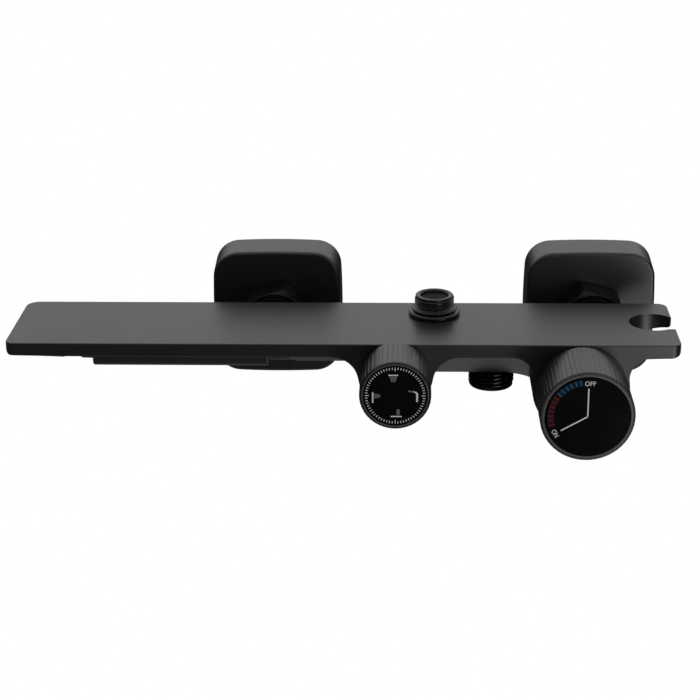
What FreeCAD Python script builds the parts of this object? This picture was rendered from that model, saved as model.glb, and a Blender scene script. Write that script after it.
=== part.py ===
import FreeCAD, Part
import math
import os

# Wall mounted bath mixer: a cast brass body in the form of a shelf, with a waterfall spout under its
# left part, two turned knobs in front, a riser outlet on top, a hose outlet below and a slotted holder
# for the hand shower at the right end. Two eccentric unions carry it on the wall.
#
# Row frame: X to the right, Y into the wall, Z up, millimetres. The origin lies on the finished wall,
# midway between the two wall threads. Every shape is drawn about the height of the body's inlets,
# which hang UNION_OFFSET below the wall threads, and save() lowers it by that much.

# ---- connection to the wall ----
INLET_CENTRES = 150.0       # distance between the two wall inlets
UNION_OFFSET = 6.0          # eccentric step from the wall thread down to the body's inlet
WALL_THREAD_R = 10.48       # G 1/2 male thread, half of 20.96
WALL_THREAD_LENGTH = 18.0
UNION_SHOULDER_R = 14.0     # round body of the union behind the nut
UNION_TUBE_R = 10.9
UNION_COLLAR_R = 12.6       # collar that the nut pulls on
UNION_COLLAR_LENGTH = 2.6
UNION_BORE_R = 7.5
SEAL_THICKNESS = 2.0        # flat washer between union and inlet nipple
INLET_THREAD_R = 13.22      # G 3/4 male thread, half of 26.44
INLET_THREAD_ROOM = 8.0     # length of inlet thread that the nut covers
NUT_ACROSS_FLATS = 30.0
NUT_LENGTH = 14.0
NUT_LIP = 1.85              # wall of the nut behind the collar
NUT_CHAMFER_R = 14.6        # circle where the nut's end chamfer starts
NUT_TURN = 16.0             # how far each nut's corner stands off the vertical, in degrees

# ---- square cover plates ----
COVER_BACK = 61.9           # width against the wall
COVER_FRONT = 60.9          # width at the front face
COVER_DEPTH = 19.5
COVER_WALL = 2.2
COVER_CORNER_R = 12.2
COVER_BULGE_R = 400.0       # radius of the slightly bowed sides
COVER_EDGE_R = 1.4

# ---- shelf body ----
BODY_LEFT = 190.0           # from the middle of the inlets to the left end
BODY_RIGHT = 107.5          # and to the right end
BODY_DEPTH = 55.0
BODY_STANDOFF = 41.0        # from the wall to the body's back
BODY_TOP = 13.0             # shelf surface above the inlets
LIP_HEIGHT = 6.0            # visible thickness of the front edge
BACK_HEIGHT = 29.5          # thickness along the back
LEFT_TOE = 18.0             # flat toe at the left end, before the underside drops
LEFT_TOE_RISE = 0.3         # how much the toe thins towards its end
LEFT_RAMP = 39.0            # length over which the underside reaches its full depth
RIGHT_TOE = 10.0
RIGHT_TOE_RISE = 2.8
RIGHT_TOE_DROP = 1.8        # the right toe's root hangs this far below the lip
RIGHT_RAMP = 28.0
TOE_END_R = 2.4
RAMP_ROUND_R = 10.0
BACK_ROUND_R = 2.5
CORNER_BACK_LEFT_R = 6.0
CORNER_BACK_RIGHT_R = 4.5
CORNER_FRONT_R = 4.0
EDGE_ROUND_R = 0.5
INLET_BOSS_R = 15.5
INLET_BOSS_LENGTH = 13.0

# ---- middle housing, between the knobs ----
HOUSING_DROP = 23.5         # from the shelf surface to the housing's flat floor
HOUSING_FRONT = 27.0        # its floor starts this far behind the front face
HOUSING_BLEND_LEFT_R = 9.0    # hollow between the housing and the diverter boss
HOUSING_BLEND_RIGHT_R = 22.0
SPOT_FACE_R = 13.5

# ---- knobs: the right one mixes, the left one diverts ----
MIXER_X = 64.3
MIXER_Z = -7.6
MIXER_KNOB_R = 20.3
MIXER_KNOB_REACH = 31.1     # from the body's front to the knob's front
MIXER_RIBS = 60
MIXER_GLASS_R = 18.3
MIXER_BEZEL_R = 19.3
MIXER_CARTRIDGE_R = 17.5    # 35 mm cartridge
MIXER_BORE_DEPTH = 38.0
MIXER_NUT_R = 18.75
MIXER_NECK_R = 12.0
MIXER_SPINDLE_R = 4.0
MIXER_BOSS_LENGTH = 46.0
MIXER_BLEND_R = 9.5         # hollow that joins the boss to the underside

DIVERTER_X = -17.4
DIVERTER_Z = -1.15
DIVERTER_KNOB_R = 15.5
DIVERTER_KNOB_REACH = 24.4
DIVERTER_RIBS = 42
DIVERTER_GLASS_R = 13.9
DIVERTER_BEZEL_R = 14.5
DIVERTER_CARTRIDGE_R = 11.0  # 22 mm cartridge
DIVERTER_BORE_DEPTH = 42.0
DIVERTER_NUT_R = 12.55
DIVERTER_NECK_R = 7.0
DIVERTER_SPINDLE_R = 3.5
DIVERTER_BOSS_LENGTH = 55.0
DIVERTER_BLEND_R = 12.0

BOSS_MARGIN = 1.15          # the boss stands out this far round its knob
KNOB_GAP = 1.0              # between the body's front and the knob
KNOB_WALL = 2.4
KNOB_FRONT_WALL = 2.6
KNOB_EDGE = 0.5             # chamfer round the knob's front
RIB_DEPTH = 0.16
RIB_BAND = 3.2              # plain band behind the ribs
RIB_GROOVE = 0.24           # share of the rib pitch that the groove takes
GLASS_THICKNESS = 1.5
GLASS_SINK = 0.5            # glass face below the bezel
BEZEL_PROUD = 0.3           # the bezel stands this far out of the knob's rim
BEZEL_ROUND = 0.22
GRUB_R = 2.0                # M4 grub screw
NUT_DEPTH = 8.5             # length of a cartridge's retaining nut
NUT_RECESS = 0.8            # retaining nut below the body's front
BASE_SEAL = 1.0
BASE_THICKNESS = 3.0
DISC_THICKNESS = 3.5
CARRIER_THICKNESS = 3.0
CARTRIDGE_WALL = 2.6

# ---- riser outlet on top ----
RISER_X = 0.0
RISER_BACK = 15.0           # axis in front of the body's back
RISER_THREAD_R = 9.0        # M18 x 1
RISER_HEIGHT = 9.4
RISER_FLANGE_R = 11.7
RISER_FLANGE = 1.9
RISER_COLLAR_R = 10.2
RISER_COLLAR = 1.2
RISER_GROOVE = 0.5         # shadow gap between flange and collar
RISER_GROOVE_R = 9.6
RISER_SEAL_R = 10.6        # flat seal in a recess under the flange
RISER_SEAL = 0.8
RISER_BORE_R = 5.5
RISER_SHANK_R = 8.5
RISER_SHANK = 7.0

# ---- hose outlet below ----
HOSE_X = 26.5
HOSE_BACK = 16.0
HOSE_THREAD_R = 10.48       # G 1/2
HOSE_LENGTH = 10.4
HOSE_RELIEF = 1.2
HOSE_RELIEF_R = 9.6
HOSE_BORE_R = 6.8
HOSE_SHANK_R = 9.0
HOSE_SHANK = 4.3

# ---- hand shower holder at the right end ----
HOLDER_X = 98.4
HOLDER_BACK = 25.15
HOLDER_R = 10.75
HOLDER_SLOT = 15.4
HOLDER_SLOT_SHIFT = 1.35    # the slot lies this far in front of the hole's centre

# ---- waterfall spout ----
SPOUT_LEFT = 151.6          # left end of the bar, from the middle of the inlets
SPOUT_LENGTH = 78.2
SPOUT_FRONT = 2.4           # bar behind the body's front face
SPOUT_BOTTOM = 11.6         # bar's underside below the shelf surface
SPOUT_BEVEL = 2.0
EAR_LEFT = 13.6
EAR_RIGHT = 8.8
EAR_DEPTH = 15.6            # plate from front to back
EAR_THICKNESS = 2.0
POCKET_STEP = 0.8           # plate below the surface round it
POCKET_GAP = 0.25
SLOT_LENGTH = 70.0
SLOT_WIDTH = 5.0
SLOT_FRONT = 2.6            # slot behind the bar's front
GRILLE_THICKNESS = 2.0
GRILLE_BARS = 23
GASKET_THICKNESS = 0.8
SCREW_R = 1.5               # M3
SCREW_HEAD_R = 2.8

# ---- fits ----
RUNNING_GAP = 0.05          # radial, between a turning part and what it turns in
SLIDING_GAP = 0.1
COVER_GAP = 0.3
FACE_GAP = 0.05             # between flat faces that slide on each other

Vector = FreeCAD.Vector
TO_FRONT = Vector(0, -1, 0)
UP = Vector(0, 0, 1)
DOWN = Vector(0, 0, -1)

BODY_BACK = -BODY_STANDOFF
BODY_FRONT = BODY_BACK - BODY_DEPTH
LIP_BOTTOM = BODY_TOP - LIP_HEIGHT
BACK_BOTTOM = BODY_TOP - BACK_HEIGHT
UNDERSIDE_SLOPE = (BACK_HEIGHT - LIP_HEIGHT) / BODY_DEPTH
HOUSING_FLOOR = BODY_TOP - HOUSING_DROP
RISER_Y = BODY_BACK - RISER_BACK
HOSE_Y = BODY_BACK - HOSE_BACK
HOLDER_Y = BODY_BACK - HOLDER_BACK
NUT_BACK = -(COVER_DEPTH + 1.5)
COLLAR_BACK = NUT_BACK - NUT_LIP - FACE_GAP
UNION_END = COLLAR_BACK - UNION_COLLAR_LENGTH
NIPPLE_END = UNION_END - SEAL_THICKNESS
SIDES = {"left": -INLET_CENTRES / 2, "right": INLET_CENTRES / 2}

MIXER = {
    "name": "mixing", "x": MIXER_X, "z": MIXER_Z, "knob_r": MIXER_KNOB_R, "reach": MIXER_KNOB_REACH,
    "ribs": MIXER_RIBS, "glass_r": MIXER_GLASS_R, "bezel_r": MIXER_BEZEL_R,
    "cartridge_r": MIXER_CARTRIDGE_R,
    "blend_r": MIXER_BLEND_R, "bore_depth": MIXER_BORE_DEPTH, "nut_r": MIXER_NUT_R, "neck_r": MIXER_NECK_R,
    "spindle_r": MIXER_SPINDLE_R, "boss_length": MIXER_BOSS_LENGTH,
}
DIVERTER = {
    "name": "diverter", "x": DIVERTER_X, "z": DIVERTER_Z, "knob_r": DIVERTER_KNOB_R,
    "reach": DIVERTER_KNOB_REACH, "ribs": DIVERTER_RIBS, "glass_r": DIVERTER_GLASS_R,
    "bezel_r": DIVERTER_BEZEL_R, "cartridge_r": DIVERTER_CARTRIDGE_R, "blend_r": DIVERTER_BLEND_R,
    "bore_depth": DIVERTER_BORE_DEPTH, "nut_r": DIVERTER_NUT_R, "neck_r": DIVERTER_NECK_R,
    "spindle_r": DIVERTER_SPINDLE_R, "boss_length": DIVERTER_BOSS_LENGTH,
}


# ---------------------------------------------------------------- drawing helpers

def rod(radius, length, base, axis):
    """Cylinder that starts at base and runs along axis."""
    return Part.makeCylinder(radius, length, base, axis)


def ring(outer, inner, length, base, axis):
    """Plain bush."""
    return rod(outer, length, base, axis).cut(rod(inner, length, base, axis))


def box(x_low, x_high, y_low, y_high, z_low, z_high):
    """Block between two corners."""
    corner = Vector(x_low, y_low, z_low)
    return Part.makeBox(x_high - x_low, y_high - y_low, z_high - z_low, corner)


def turned(profile, base, axis):
    """Turned part: profile is a closed list of (distance along axis, radius)."""
    points = [Vector(radius, 0, along) for along, radius in profile]
    wire = Part.makePolygon(points + [points[0]])
    solid = Part.Face(wire).revolve(Vector(0, 0, 0), UP, 360)
    solid.Placement = FreeCAD.Placement(base, FreeCAD.Rotation(UP, axis))
    return solid


def rounded_wire(corners, place):
    """Closed wire through (a, b, corner radius); place turns (a, b) into a point in space."""
    edges = []
    ends = []
    count = len(corners)
    for index, (a, b, radius) in enumerate(corners):
        here = Vector(a, b, 0)
        before = Vector(corners[index - 1][0], corners[index - 1][1], 0)
        after = Vector(corners[(index + 1) % count][0], corners[(index + 1) % count][1], 0)
        back = (before - here).normalize()
        on = (after - here).normalize()
        half_angle = back.getAngle(on) / 2
        setback = radius / math.tan(half_angle)
        inward = (back + on).normalize()
        middle = here + inward * (radius / math.sin(half_angle) - radius)
        start = here + back * setback
        stop = here + on * setback
        ends.append((start, middle, stop, radius))
    for index, (start, middle, stop, radius) in enumerate(ends):
        leave = ends[index - 1][2]
        if leave.distanceToPoint(start) > 1e-6:
            edges.append(Part.LineSegment(place(leave), place(start)).toShape())
        if radius > 0:
            edges.append(Part.Arc(place(start), place(middle), place(stop)).toShape())
    return Part.Wire(edges)


def in_plan(z):
    """Points drawn as (x, y) at height z."""
    return lambda point: Vector(point.x, point.y, z)


def in_front_view(y):
    """Points drawn as (x, z) at depth y."""
    return lambda point: Vector(point.x, y, point.y)


def in_side_view(x):
    """Points drawn as (y, z) at distance x."""
    return lambda point: Vector(x, point.x, point.y)


def prism(corners, place, travel):
    """Rounded outline pushed along travel."""
    return Part.Face(rounded_wire(corners, place)).extrude(travel)


def save(name, shape):
    """Lower the shape from the inlets' height to the row frame and write it."""
    lowered = shape.copy()
    lowered.translate(Vector(0, 0, -UNION_OFFSET))
    lowered.exportStep("parts/" + name + ".step")


def underside(y):
    """Height of the body's sloping underside at depth y."""
    return LIP_BOTTOM - UNDERSIDE_SLOPE * (y - BODY_FRONT)


# ---------------------------------------------------------------- shelf body

def body_envelope():
    """Shelf outline in plan with softened top edges, deep enough for the knob bosses."""
    outline = [
        (-BODY_LEFT, BODY_FRONT, CORNER_FRONT_R),
        (BODY_RIGHT, BODY_FRONT, CORNER_FRONT_R),
        (BODY_RIGHT, BODY_BACK, CORNER_BACK_RIGHT_R),
        (-BODY_LEFT, BODY_BACK, CORNER_BACK_LEFT_R),
    ]
    depth = 2 * BACK_HEIGHT
    solid = prism(outline, in_plan(BODY_TOP - depth), Vector(0, 0, depth))
    top_edges = [edge for edge in solid.Edges if edge.BoundBox.ZMin > BODY_TOP - 0.01]
    return solid.makeFillet(EDGE_ROUND_R, top_edges)


def wedge():
    """Thin at the front, thick at the back, with an underside that rises to both ends."""
    length = BODY_LEFT + BODY_RIGHT
    section = [
        (BODY_FRONT, LIP_BOTTOM, EDGE_ROUND_R),
        (BODY_BACK, BACK_BOTTOM, BACK_ROUND_R),
        (BODY_BACK, BODY_TOP, 0),
        (BODY_FRONT, BODY_TOP, 0),
    ]
    across = prism(section, in_side_view(-BODY_LEFT), Vector(length, 0, 0))
    left_root = LEFT_TOE - BODY_LEFT
    right_root = BODY_RIGHT - RIGHT_TOE
    right_bottom = LIP_BOTTOM - RIGHT_TOE_DROP
    outline = [
        (-BODY_LEFT, BODY_TOP, 0),
        (-BODY_LEFT, LIP_BOTTOM + LEFT_TOE_RISE, TOE_END_R),
        (left_root, LIP_BOTTOM, RAMP_ROUND_R),
        (left_root + LEFT_RAMP, BACK_BOTTOM, RAMP_ROUND_R),
        (right_root - RIGHT_RAMP, BACK_BOTTOM, RAMP_ROUND_R),
        (right_root, right_bottom, RAMP_ROUND_R),
        (BODY_RIGHT, right_bottom + RIGHT_TOE_RISE, TOE_END_R),
        (BODY_RIGHT, BODY_TOP, 0),
    ]
    along = prism(outline, in_front_view(BODY_FRONT), Vector(0, BODY_DEPTH, 0))
    return across.common(along)


def web(control, side, floor, blend_r, length):
    """Hollow blend between a boss and a flat underside at height floor, on one side of the boss."""
    boss = Vector(control["x"], control["z"], 0)
    boss_r = control["knob_r"] + BOSS_MARGIN
    reach = boss_r + blend_r
    rise = floor - blend_r - boss.y
    centre = Vector(boss.x + side * math.sqrt(reach ** 2 - rise ** 2), floor - blend_r, 0)
    touch_boss = boss + (centre - boss) * (boss_r / reach)
    touch_floor = Vector(centre.x, floor, 0)
    halfway = ((touch_boss - centre) + (touch_floor - centre)).normalize()
    middle = centre + halfway * blend_r
    place = in_front_view(BODY_FRONT)
    roof = max(floor, boss.y) + 1
    path = [touch_floor, Vector(centre.x, roof, 0), Vector(boss.x, roof, 0), boss, touch_boss]
    edges = [Part.LineSegment(place(a), place(b)).toShape() for a, b in zip(path, path[1:])]
    edges.append(Part.Arc(place(touch_boss), place(middle), place(touch_floor)).toShape())
    return Part.Face(Part.Wire(edges)).extrude(Vector(0, length, 0))


def knob_boss(control):
    """Round boss that holds a cartridge, blended to the underside on both sides."""
    base = Vector(control["x"], BODY_FRONT, control["z"])
    boss = rod(control["knob_r"] + BOSS_MARGIN, control["boss_length"], base, -TO_FRONT)
    for side in (-1, 1):
        boss = boss.fuse(web(control, side, LIP_BOTTOM, control["blend_r"], control["boss_length"]))
    return boss


def middle_housing():
    """Deeper part between the knobs: it slopes down from the lip to the flat floor of the hose outlet."""
    left = DIVERTER_X
    right = MIXER_X
    block = box(left, right, BODY_FRONT, BODY_BACK, HOUSING_FLOOR, BODY_TOP)
    block = block.fuse(web(DIVERTER, 1, HOUSING_FLOOR, HOUSING_BLEND_LEFT_R, BODY_DEPTH))
    block = block.fuse(web(MIXER, -1, HOUSING_FLOOR, HOUSING_BLEND_RIGHT_R, BODY_DEPTH))
    slope = (LIP_BOTTOM - HOUSING_FLOOR) / HOUSING_FRONT
    deep = 2 * BODY_DEPTH
    profile = [
        (BODY_FRONT, BODY_TOP, 0),
        (BODY_FRONT, LIP_BOTTOM, 0),
        (BODY_FRONT + deep, LIP_BOTTOM - slope * deep, 0),
        (BODY_FRONT + deep, BODY_TOP, 0),
    ]
    above_slope = prism(profile, in_side_view(left), Vector(right - left, 0, 0))
    return block.common(above_slope)


def inlet_boss(x):
    """Round land on the back of the body for an inlet nipple."""
    return rod(INLET_BOSS_R, INLET_BOSS_LENGTH, Vector(x, BODY_BACK, 0), TO_FRONT)


def spout_plate_profile(clearance, thickness):
    """Side view of the spout's mounting plate, or of its pocket, flush with the sloping underside."""
    front = BODY_FRONT + SPOUT_FRONT - clearance
    back = BODY_FRONT + SPOUT_FRONT + EAR_DEPTH + clearance
    return [
        (front, underside(front), 0),
        (back, underside(back), 0),
        (back, underside(back) + thickness, 0),
        (front, underside(front) + thickness, 0),
    ]


def water_ways():
    """Everything that is cored or drilled out of the casting."""
    cuts = []
    for control in (MIXER, DIVERTER):
        front = Vector(control["x"], BODY_FRONT, control["z"])
        inward = -TO_FRONT
        cuts.append(rod(control["cartridge_r"] + SLIDING_GAP, control["bore_depth"], front, inward))
        cuts.append(rod(control["nut_r"], NUT_DEPTH + NUT_RECESS, front, inward))
    for x in SIDES.values():
        cuts.append(rod(NIPPLE_SHANK_R, NIPPLE_SHANK, Vector(x, BODY_BACK, 0), TO_FRONT))
    # cross drillings: hot supply along the back, cold supply, mixed water, and the diverter's three ways
    hot_y = BODY_BACK - 5.5
    hot_z = BACK_BOTTOM + 9.0
    mixer_back = BODY_FRONT + MIXER_BORE_DEPTH
    cuts.append(rod(3.2, MIXER_X - 6 - SIDES["left"], Vector(SIDES["left"], hot_y, hot_z), Vector(1, 0, 0)))
    cuts.append(rod(3.0, hot_y - mixer_back + 1, Vector(MIXER_X - 8, mixer_back - 1, hot_z), -TO_FRONT))
    cold_x = (MIXER_X + SIDES["right"]) / 2
    cold_y = BODY_BACK - NIPPLE_SHANK
    cuts.append(rod(3.5, cold_y - mixer_back + 2, Vector(cold_x + 1, mixer_back - 1, 0), -TO_FRONT))
    along = Vector(1, 0, 0)
    mixed_y = BODY_FRONT + HOUSING_FRONT + 1
    cuts.append(rod(3.2, MIXER_X - DIVERTER_X, Vector(DIVERTER_X, mixed_y, BODY_TOP - 7), along))
    cuts.append(rod(2.6, RISER_X - DIVERTER_X, Vector(DIVERTER_X, RISER_Y - 2, BODY_TOP - 9.8), along))
    cuts.append(rod(2.6, HOSE_X - DIVERTER_X, Vector(DIVERTER_X, HOSE_Y - 1, HOUSING_FLOOR + 7.5), along))
    plenum_right = -(SPOUT_LEFT - SPOUT_LENGTH)
    cuts.append(rod(4.0, DIVERTER_X - plenum_right + 8, Vector(plenum_right - 8, BODY_BACK - 23, 2), along))
    # outlets
    riser_top = Vector(RISER_X, RISER_Y, BODY_TOP)
    cuts.append(rod(RISER_SHANK_R, RISER_SHANK, riser_top, DOWN))
    cuts.append(rod(RISER_SEAL_R, RISER_SEAL, riser_top, DOWN))
    cuts.append(rod(RISER_BORE_R, RISER_SHANK + 5.5, riser_top, DOWN))
    hose_seat = Vector(HOSE_X, HOSE_Y, HOUSING_FLOOR)
    cuts.append(rod(SPOT_FACE_R, BACK_HEIGHT, hose_seat, DOWN))
    cuts.append(rod(HOSE_SHANK_R, HOSE_SHANK, hose_seat, UP))
    cuts.append(rod(HOSE_BORE_R - 0.8, HOSE_SHANK + 5.2, hose_seat, UP))
    return cuts


def spout_chamber():
    """Hollow over the waterfall spout, with its slot and the pocket for the spout's plate."""
    left = 2.0 - SPOUT_LEFT
    right = SPOUT_LENGTH - SPOUT_LEFT - 2.0
    wall = 3.2
    front = BODY_FRONT + 6.0
    back = BODY_BACK - 23.0
    hollow_profile = [
        (front, BODY_TOP - wall, 1),
        (front, underside(front) + wall, 0.6),
        (back, underside(back) + wall, 2),
        (back, BODY_TOP - wall, 2),
    ]
    hollow = prism(hollow_profile, in_side_view(left), Vector(right - left, 0, 0))
    pocket_left = -(SPOUT_LEFT + EAR_LEFT) - POCKET_GAP
    pocket_length = SPOUT_LENGTH + EAR_LEFT + EAR_RIGHT + 2 * POCKET_GAP
    deep = EAR_THICKNESS + GASKET_THICKNESS + POCKET_STEP
    pocket_shape = spout_plate_profile(POCKET_GAP, deep)
    pocket = prism(pocket_shape, in_side_view(pocket_left), Vector(pocket_length, 0, 0))
    slot_x, slot_y = slot_corner()
    slot = box(slot_x, slot_x + SLOT_LENGTH, slot_y, slot_y + SLOT_WIDTH, LIP_BOTTOM - 4, BODY_TOP - wall)
    return [hollow, pocket, slot] + [screw_hole(x) for x in screw_places()]


def slot_corner():
    """Left front corner of the waterfall slot in plan."""
    x = -SPOUT_LEFT + (SPOUT_LENGTH - SLOT_LENGTH) / 2
    y = BODY_FRONT + SPOUT_FRONT + SLOT_FRONT
    return x, y


def screw_places():
    """Middles of the two ears."""
    left = -(SPOUT_LEFT + EAR_LEFT / 2)
    right = SPOUT_LENGTH - SPOUT_LEFT + EAR_RIGHT / 2
    return left, right


def slope_normal():
    """Unit vector out of the sloping underside."""
    return Vector(0, -UNDERSIDE_SLOPE, -1).normalize()


def ear_face(x, raise_by):
    """Point on the ear's centre line, raise_by inside the body's sloping surface."""
    y = BODY_FRONT + SPOUT_FRONT + EAR_DEPTH / 2
    return Vector(x, y, underside(y)) - slope_normal() * raise_by


def screw_hole(x):
    """Blind tapped hole behind an ear."""
    return rod(SCREW_R, 6.5, ear_face(x, POCKET_STEP), -slope_normal())


def holder():
    """Slotted hole for the hand shower's cone."""
    bottom = BODY_TOP - 2 * BACK_HEIGHT
    height = 2.5 * BACK_HEIGHT
    hole = rod(HOLDER_R, height, Vector(HOLDER_X, HOLDER_Y, bottom), UP)
    slot_y = HOLDER_Y - HOLDER_SLOT_SHIFT
    half = HOLDER_SLOT / 2
    mouth = box(HOLDER_X, BODY_RIGHT + 1, slot_y - half, slot_y + half, bottom, bottom + height)
    return hole.fuse(mouth)


def mixer_body():
    """The brass casting."""
    solid = wedge().fuse([knob_boss(MIXER), knob_boss(DIVERTER), middle_housing()])
    solid = solid.fuse([inlet_boss(x) for x in SIDES.values()])
    solid = solid.common(body_envelope()).removeSplitter()
    return solid.cut(water_ways() + spout_chamber() + [holder()])


# ---------------------------------------------------------------- inlets and wall unions

NIPPLE_SHANK_R = 11.0
NIPPLE_SHANK = 9.0
NIPPLE_BORE_R = 7.0
NIPPLE_RELIEF_R = 12.3
NIPPLE_RELIEF = 2.8
VALVE_SEAT_R = 9.0
VALVE_LENGTH = 12.0


def inlet_nipple(x):
    """Male nipple screwed into the body's back, with a seat for the check valve."""
    thread_end = -BODY_BACK - NIPPLE_RELIEF
    start = -NIPPLE_END
    profile = [
        (start, VALVE_SEAT_R),
        (start, INLET_THREAD_R - 1),
        (start + 1, INLET_THREAD_R),
        (thread_end, INLET_THREAD_R),
        (thread_end, NIPPLE_RELIEF_R),
        (-BODY_BACK, NIPPLE_RELIEF_R),
        (-BODY_BACK, NIPPLE_SHANK_R),
        (-BODY_BACK + NIPPLE_SHANK, NIPPLE_SHANK_R),
        (-BODY_BACK + NIPPLE_SHANK, NIPPLE_BORE_R),
        (start + VALVE_LENGTH, NIPPLE_BORE_R),
        (start + VALVE_LENGTH, VALVE_SEAT_R),
    ]
    return turned(profile, Vector(x, 0, 0), TO_FRONT)


def check_valve(x):
    """Push-in check valve in a nipple: ring, bridge and closed cone."""
    start = 0.5 - NIPPLE_END
    end = VALVE_LENGTH - NIPPLE_END
    inner = VALVE_SEAT_R - 2.4
    shell = ring(VALVE_SEAT_R, inner, end - start, Vector(x, -start, 0), TO_FRONT)
    bridge = box(x - inner - 1, x + inner + 1, -end, 1.5 - end, -1.2, 1.2)
    cone_profile = [
        (start, 0), (start, inner - 0.3), (start + 2, inner - 0.3),
        (start + 4, 1.6), (end - 1, 1.6), (end - 1, 0),
    ]
    cone = turned(cone_profile, Vector(x, 0, 0), TO_FRONT)
    return shell.fuse([bridge, cone]).removeSplitter()


def inlet_washer(x):
    """Flat rubber washer that seals the union to the nipple."""
    return ring(UNION_COLLAR_R, NIPPLE_BORE_R + 1, SEAL_THICKNESS, Vector(x, UNION_END, 0), TO_FRONT)


def eccentric_union(x):
    """Cranked connector: wall thread above, collar for the nut below."""
    wall_end = Vector(x, WALL_THREAD_LENGTH, UNION_OFFSET)
    behind = COVER_DEPTH / 2 - 1
    shoulder_end = COVER_DEPTH + 0.4
    stud = rod(WALL_THREAD_R, WALL_THREAD_LENGTH, wall_end, TO_FRONT)
    upper = rod(UNION_SHOULDER_R, behind, Vector(x, 0, UNION_OFFSET), TO_FRONT)
    lower = rod(UNION_SHOULDER_R, shoulder_end - behind + 3, Vector(x, -behind + 3, 0), TO_FRONT)
    tube_length = -COLLAR_BACK - shoulder_end
    tube = rod(UNION_TUBE_R, tube_length, Vector(x, -shoulder_end, 0), TO_FRONT)
    collar = rod(UNION_COLLAR_R, UNION_COLLAR_LENGTH, Vector(x, COLLAR_BACK, 0), TO_FRONT)
    solid = stud.fuse([upper, lower, tube, collar]).removeSplitter()
    wall_bore = rod(UNION_BORE_R, WALL_THREAD_LENGTH + behind - 1, wall_end, TO_FRONT)
    front_bore = rod(UNION_BORE_R, -UNION_END - 4, Vector(x, -4, 0), TO_FRONT)
    key_low = UNION_OFFSET - 12
    key_high = UNION_OFFSET + 12
    key_way = box(x - 6.5, x + 6.5, WALL_THREAD_LENGTH - 1.5, WALL_THREAD_LENGTH, key_low, key_high)
    return solid.cut([wall_bore, front_bore, key_way])


def union_nut(x, turn):
    """Hexagon nut that turns freely on the union and draws it against the inlet nipple."""
    flat = NUT_ACROSS_FLATS / 2
    corner = flat / math.cos(math.radians(30))
    angles = [math.radians(turn + 60 * step) for step in range(6)]
    points = [Vector(x + corner * math.sin(a), NUT_BACK, corner * math.cos(a)) for a in angles]
    hexagon = Part.Face(Part.makePolygon(points + [points[0]])).extrude(Vector(0, -NUT_LENGTH, 0))
    slant = (corner - NUT_CHAMFER_R) * math.tan(math.radians(30))
    start = -NUT_BACK
    end = start + NUT_LENGTH
    chamfers = turned(
        [(start, 0), (start, NUT_CHAMFER_R), (start + slant, corner), (end - slant, corner),
         (end, NUT_CHAMFER_R), (end, 0)],
        Vector(x, 0, 0), TO_FRONT)
    lip_bore = rod(UNION_TUBE_R + SLIDING_GAP, NUT_LIP, Vector(x, NUT_BACK, 0), TO_FRONT)
    room = rod(INLET_THREAD_R + RUNNING_GAP, NUT_LENGTH - NUT_LIP, Vector(x, NUT_BACK - NUT_LIP, 0), TO_FRONT)
    return hexagon.common(chamfers).cut([lip_bore, room])


def bowed_square(width, y, x):
    """Outline of a cover plate: bowed sides and round corners."""
    half = width / 2
    offset = COVER_BULGE_R - half
    root = math.sqrt(2 * (COVER_BULGE_R - COVER_CORNER_R) ** 2 - offset ** 2)
    corner = (root - offset) / 2
    edges = []
    for quarter in range(4):
        turn = FreeCAD.Rotation(Vector(0, 1, 0), 90 * quarter)
        centre = Vector(0, 0, half - COVER_BULGE_R)
        corner_centre = Vector(corner, 0, corner)
        touch = (corner_centre - centre).normalize() * COVER_BULGE_R + centre
        mirrored = Vector(-touch.x, 0, touch.z)
        diagonal = corner_centre + Vector(1, 0, 1).normalize() * COVER_CORNER_R
        next_touch = Vector(touch.z, 0, touch.x)
        place = Vector(x, y, 0)
        side = [turn.multVec(p) + place for p in (mirrored, Vector(0, 0, half), touch)]
        round_corner = [turn.multVec(p) + place for p in (touch, diagonal, next_touch)]
        edges.append(Part.Arc(*side).toShape())
        edges.append(Part.Arc(*round_corner).toShape())
    return Part.Wire(edges)


def cover_plate(x):
    """Deep drawn square cover that hides the union's wall end."""
    sections = [bowed_square(COVER_BACK, 0, x), bowed_square(COVER_FRONT, -COVER_DEPTH, x)]
    shell = Part.makeLoft(sections, True, True)
    front_edges = [edge for edge in shell.Edges if edge.BoundBox.YMax < 0.01 - COVER_DEPTH]
    shell = shell.makeFillet(COVER_EDGE_R, front_edges)
    inner_back = bowed_square(COVER_BACK - 2 * COVER_WALL, 0, x)
    inner_front = bowed_square(COVER_FRONT - 2 * COVER_WALL, COVER_WALL - COVER_DEPTH, x)
    hollow = Part.makeLoft([inner_back, inner_front], True, True)
    hole = rod(UNION_SHOULDER_R + COVER_GAP, COVER_DEPTH, Vector(x, 0, 0), TO_FRONT)
    return shell.cut([hollow, hole])


# ---------------------------------------------------------------- cartridges and knobs

def control_layout(control):
    """Depths of a control's pieces, from its bore's back to the knob's front."""
    back = BODY_FRONT + control["bore_depth"]
    base_back = back - BASE_SEAL
    base_front = base_back - BASE_THICKNESS
    disc_joint = base_front - DISC_THICKNESS
    carrier_back = disc_joint - FACE_GAP - DISC_THICKNESS
    shoulder = BODY_FRONT + NUT_RECESS + NUT_DEPTH
    knob_front = BODY_FRONT - control["reach"]
    glass_back = knob_front + GLASS_SINK + GLASS_THICKNESS
    spindle_front = glass_back + KNOB_FRONT_WALL
    return {
        "back": back, "base_back": base_back, "base_front": base_front, "disc_joint": disc_joint,
        "carrier_back": carrier_back, "carrier_front": carrier_back - CARRIER_THICKNESS,
        "shoulder": shoulder, "neck_front": BODY_FRONT + NUT_RECESS, "knob_back": BODY_FRONT - KNOB_GAP,
        "knob_front": knob_front, "rim_front": knob_front + BEZEL_PROUD, "glass_back": glass_back,
        "spindle_front": spindle_front,
    }


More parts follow.
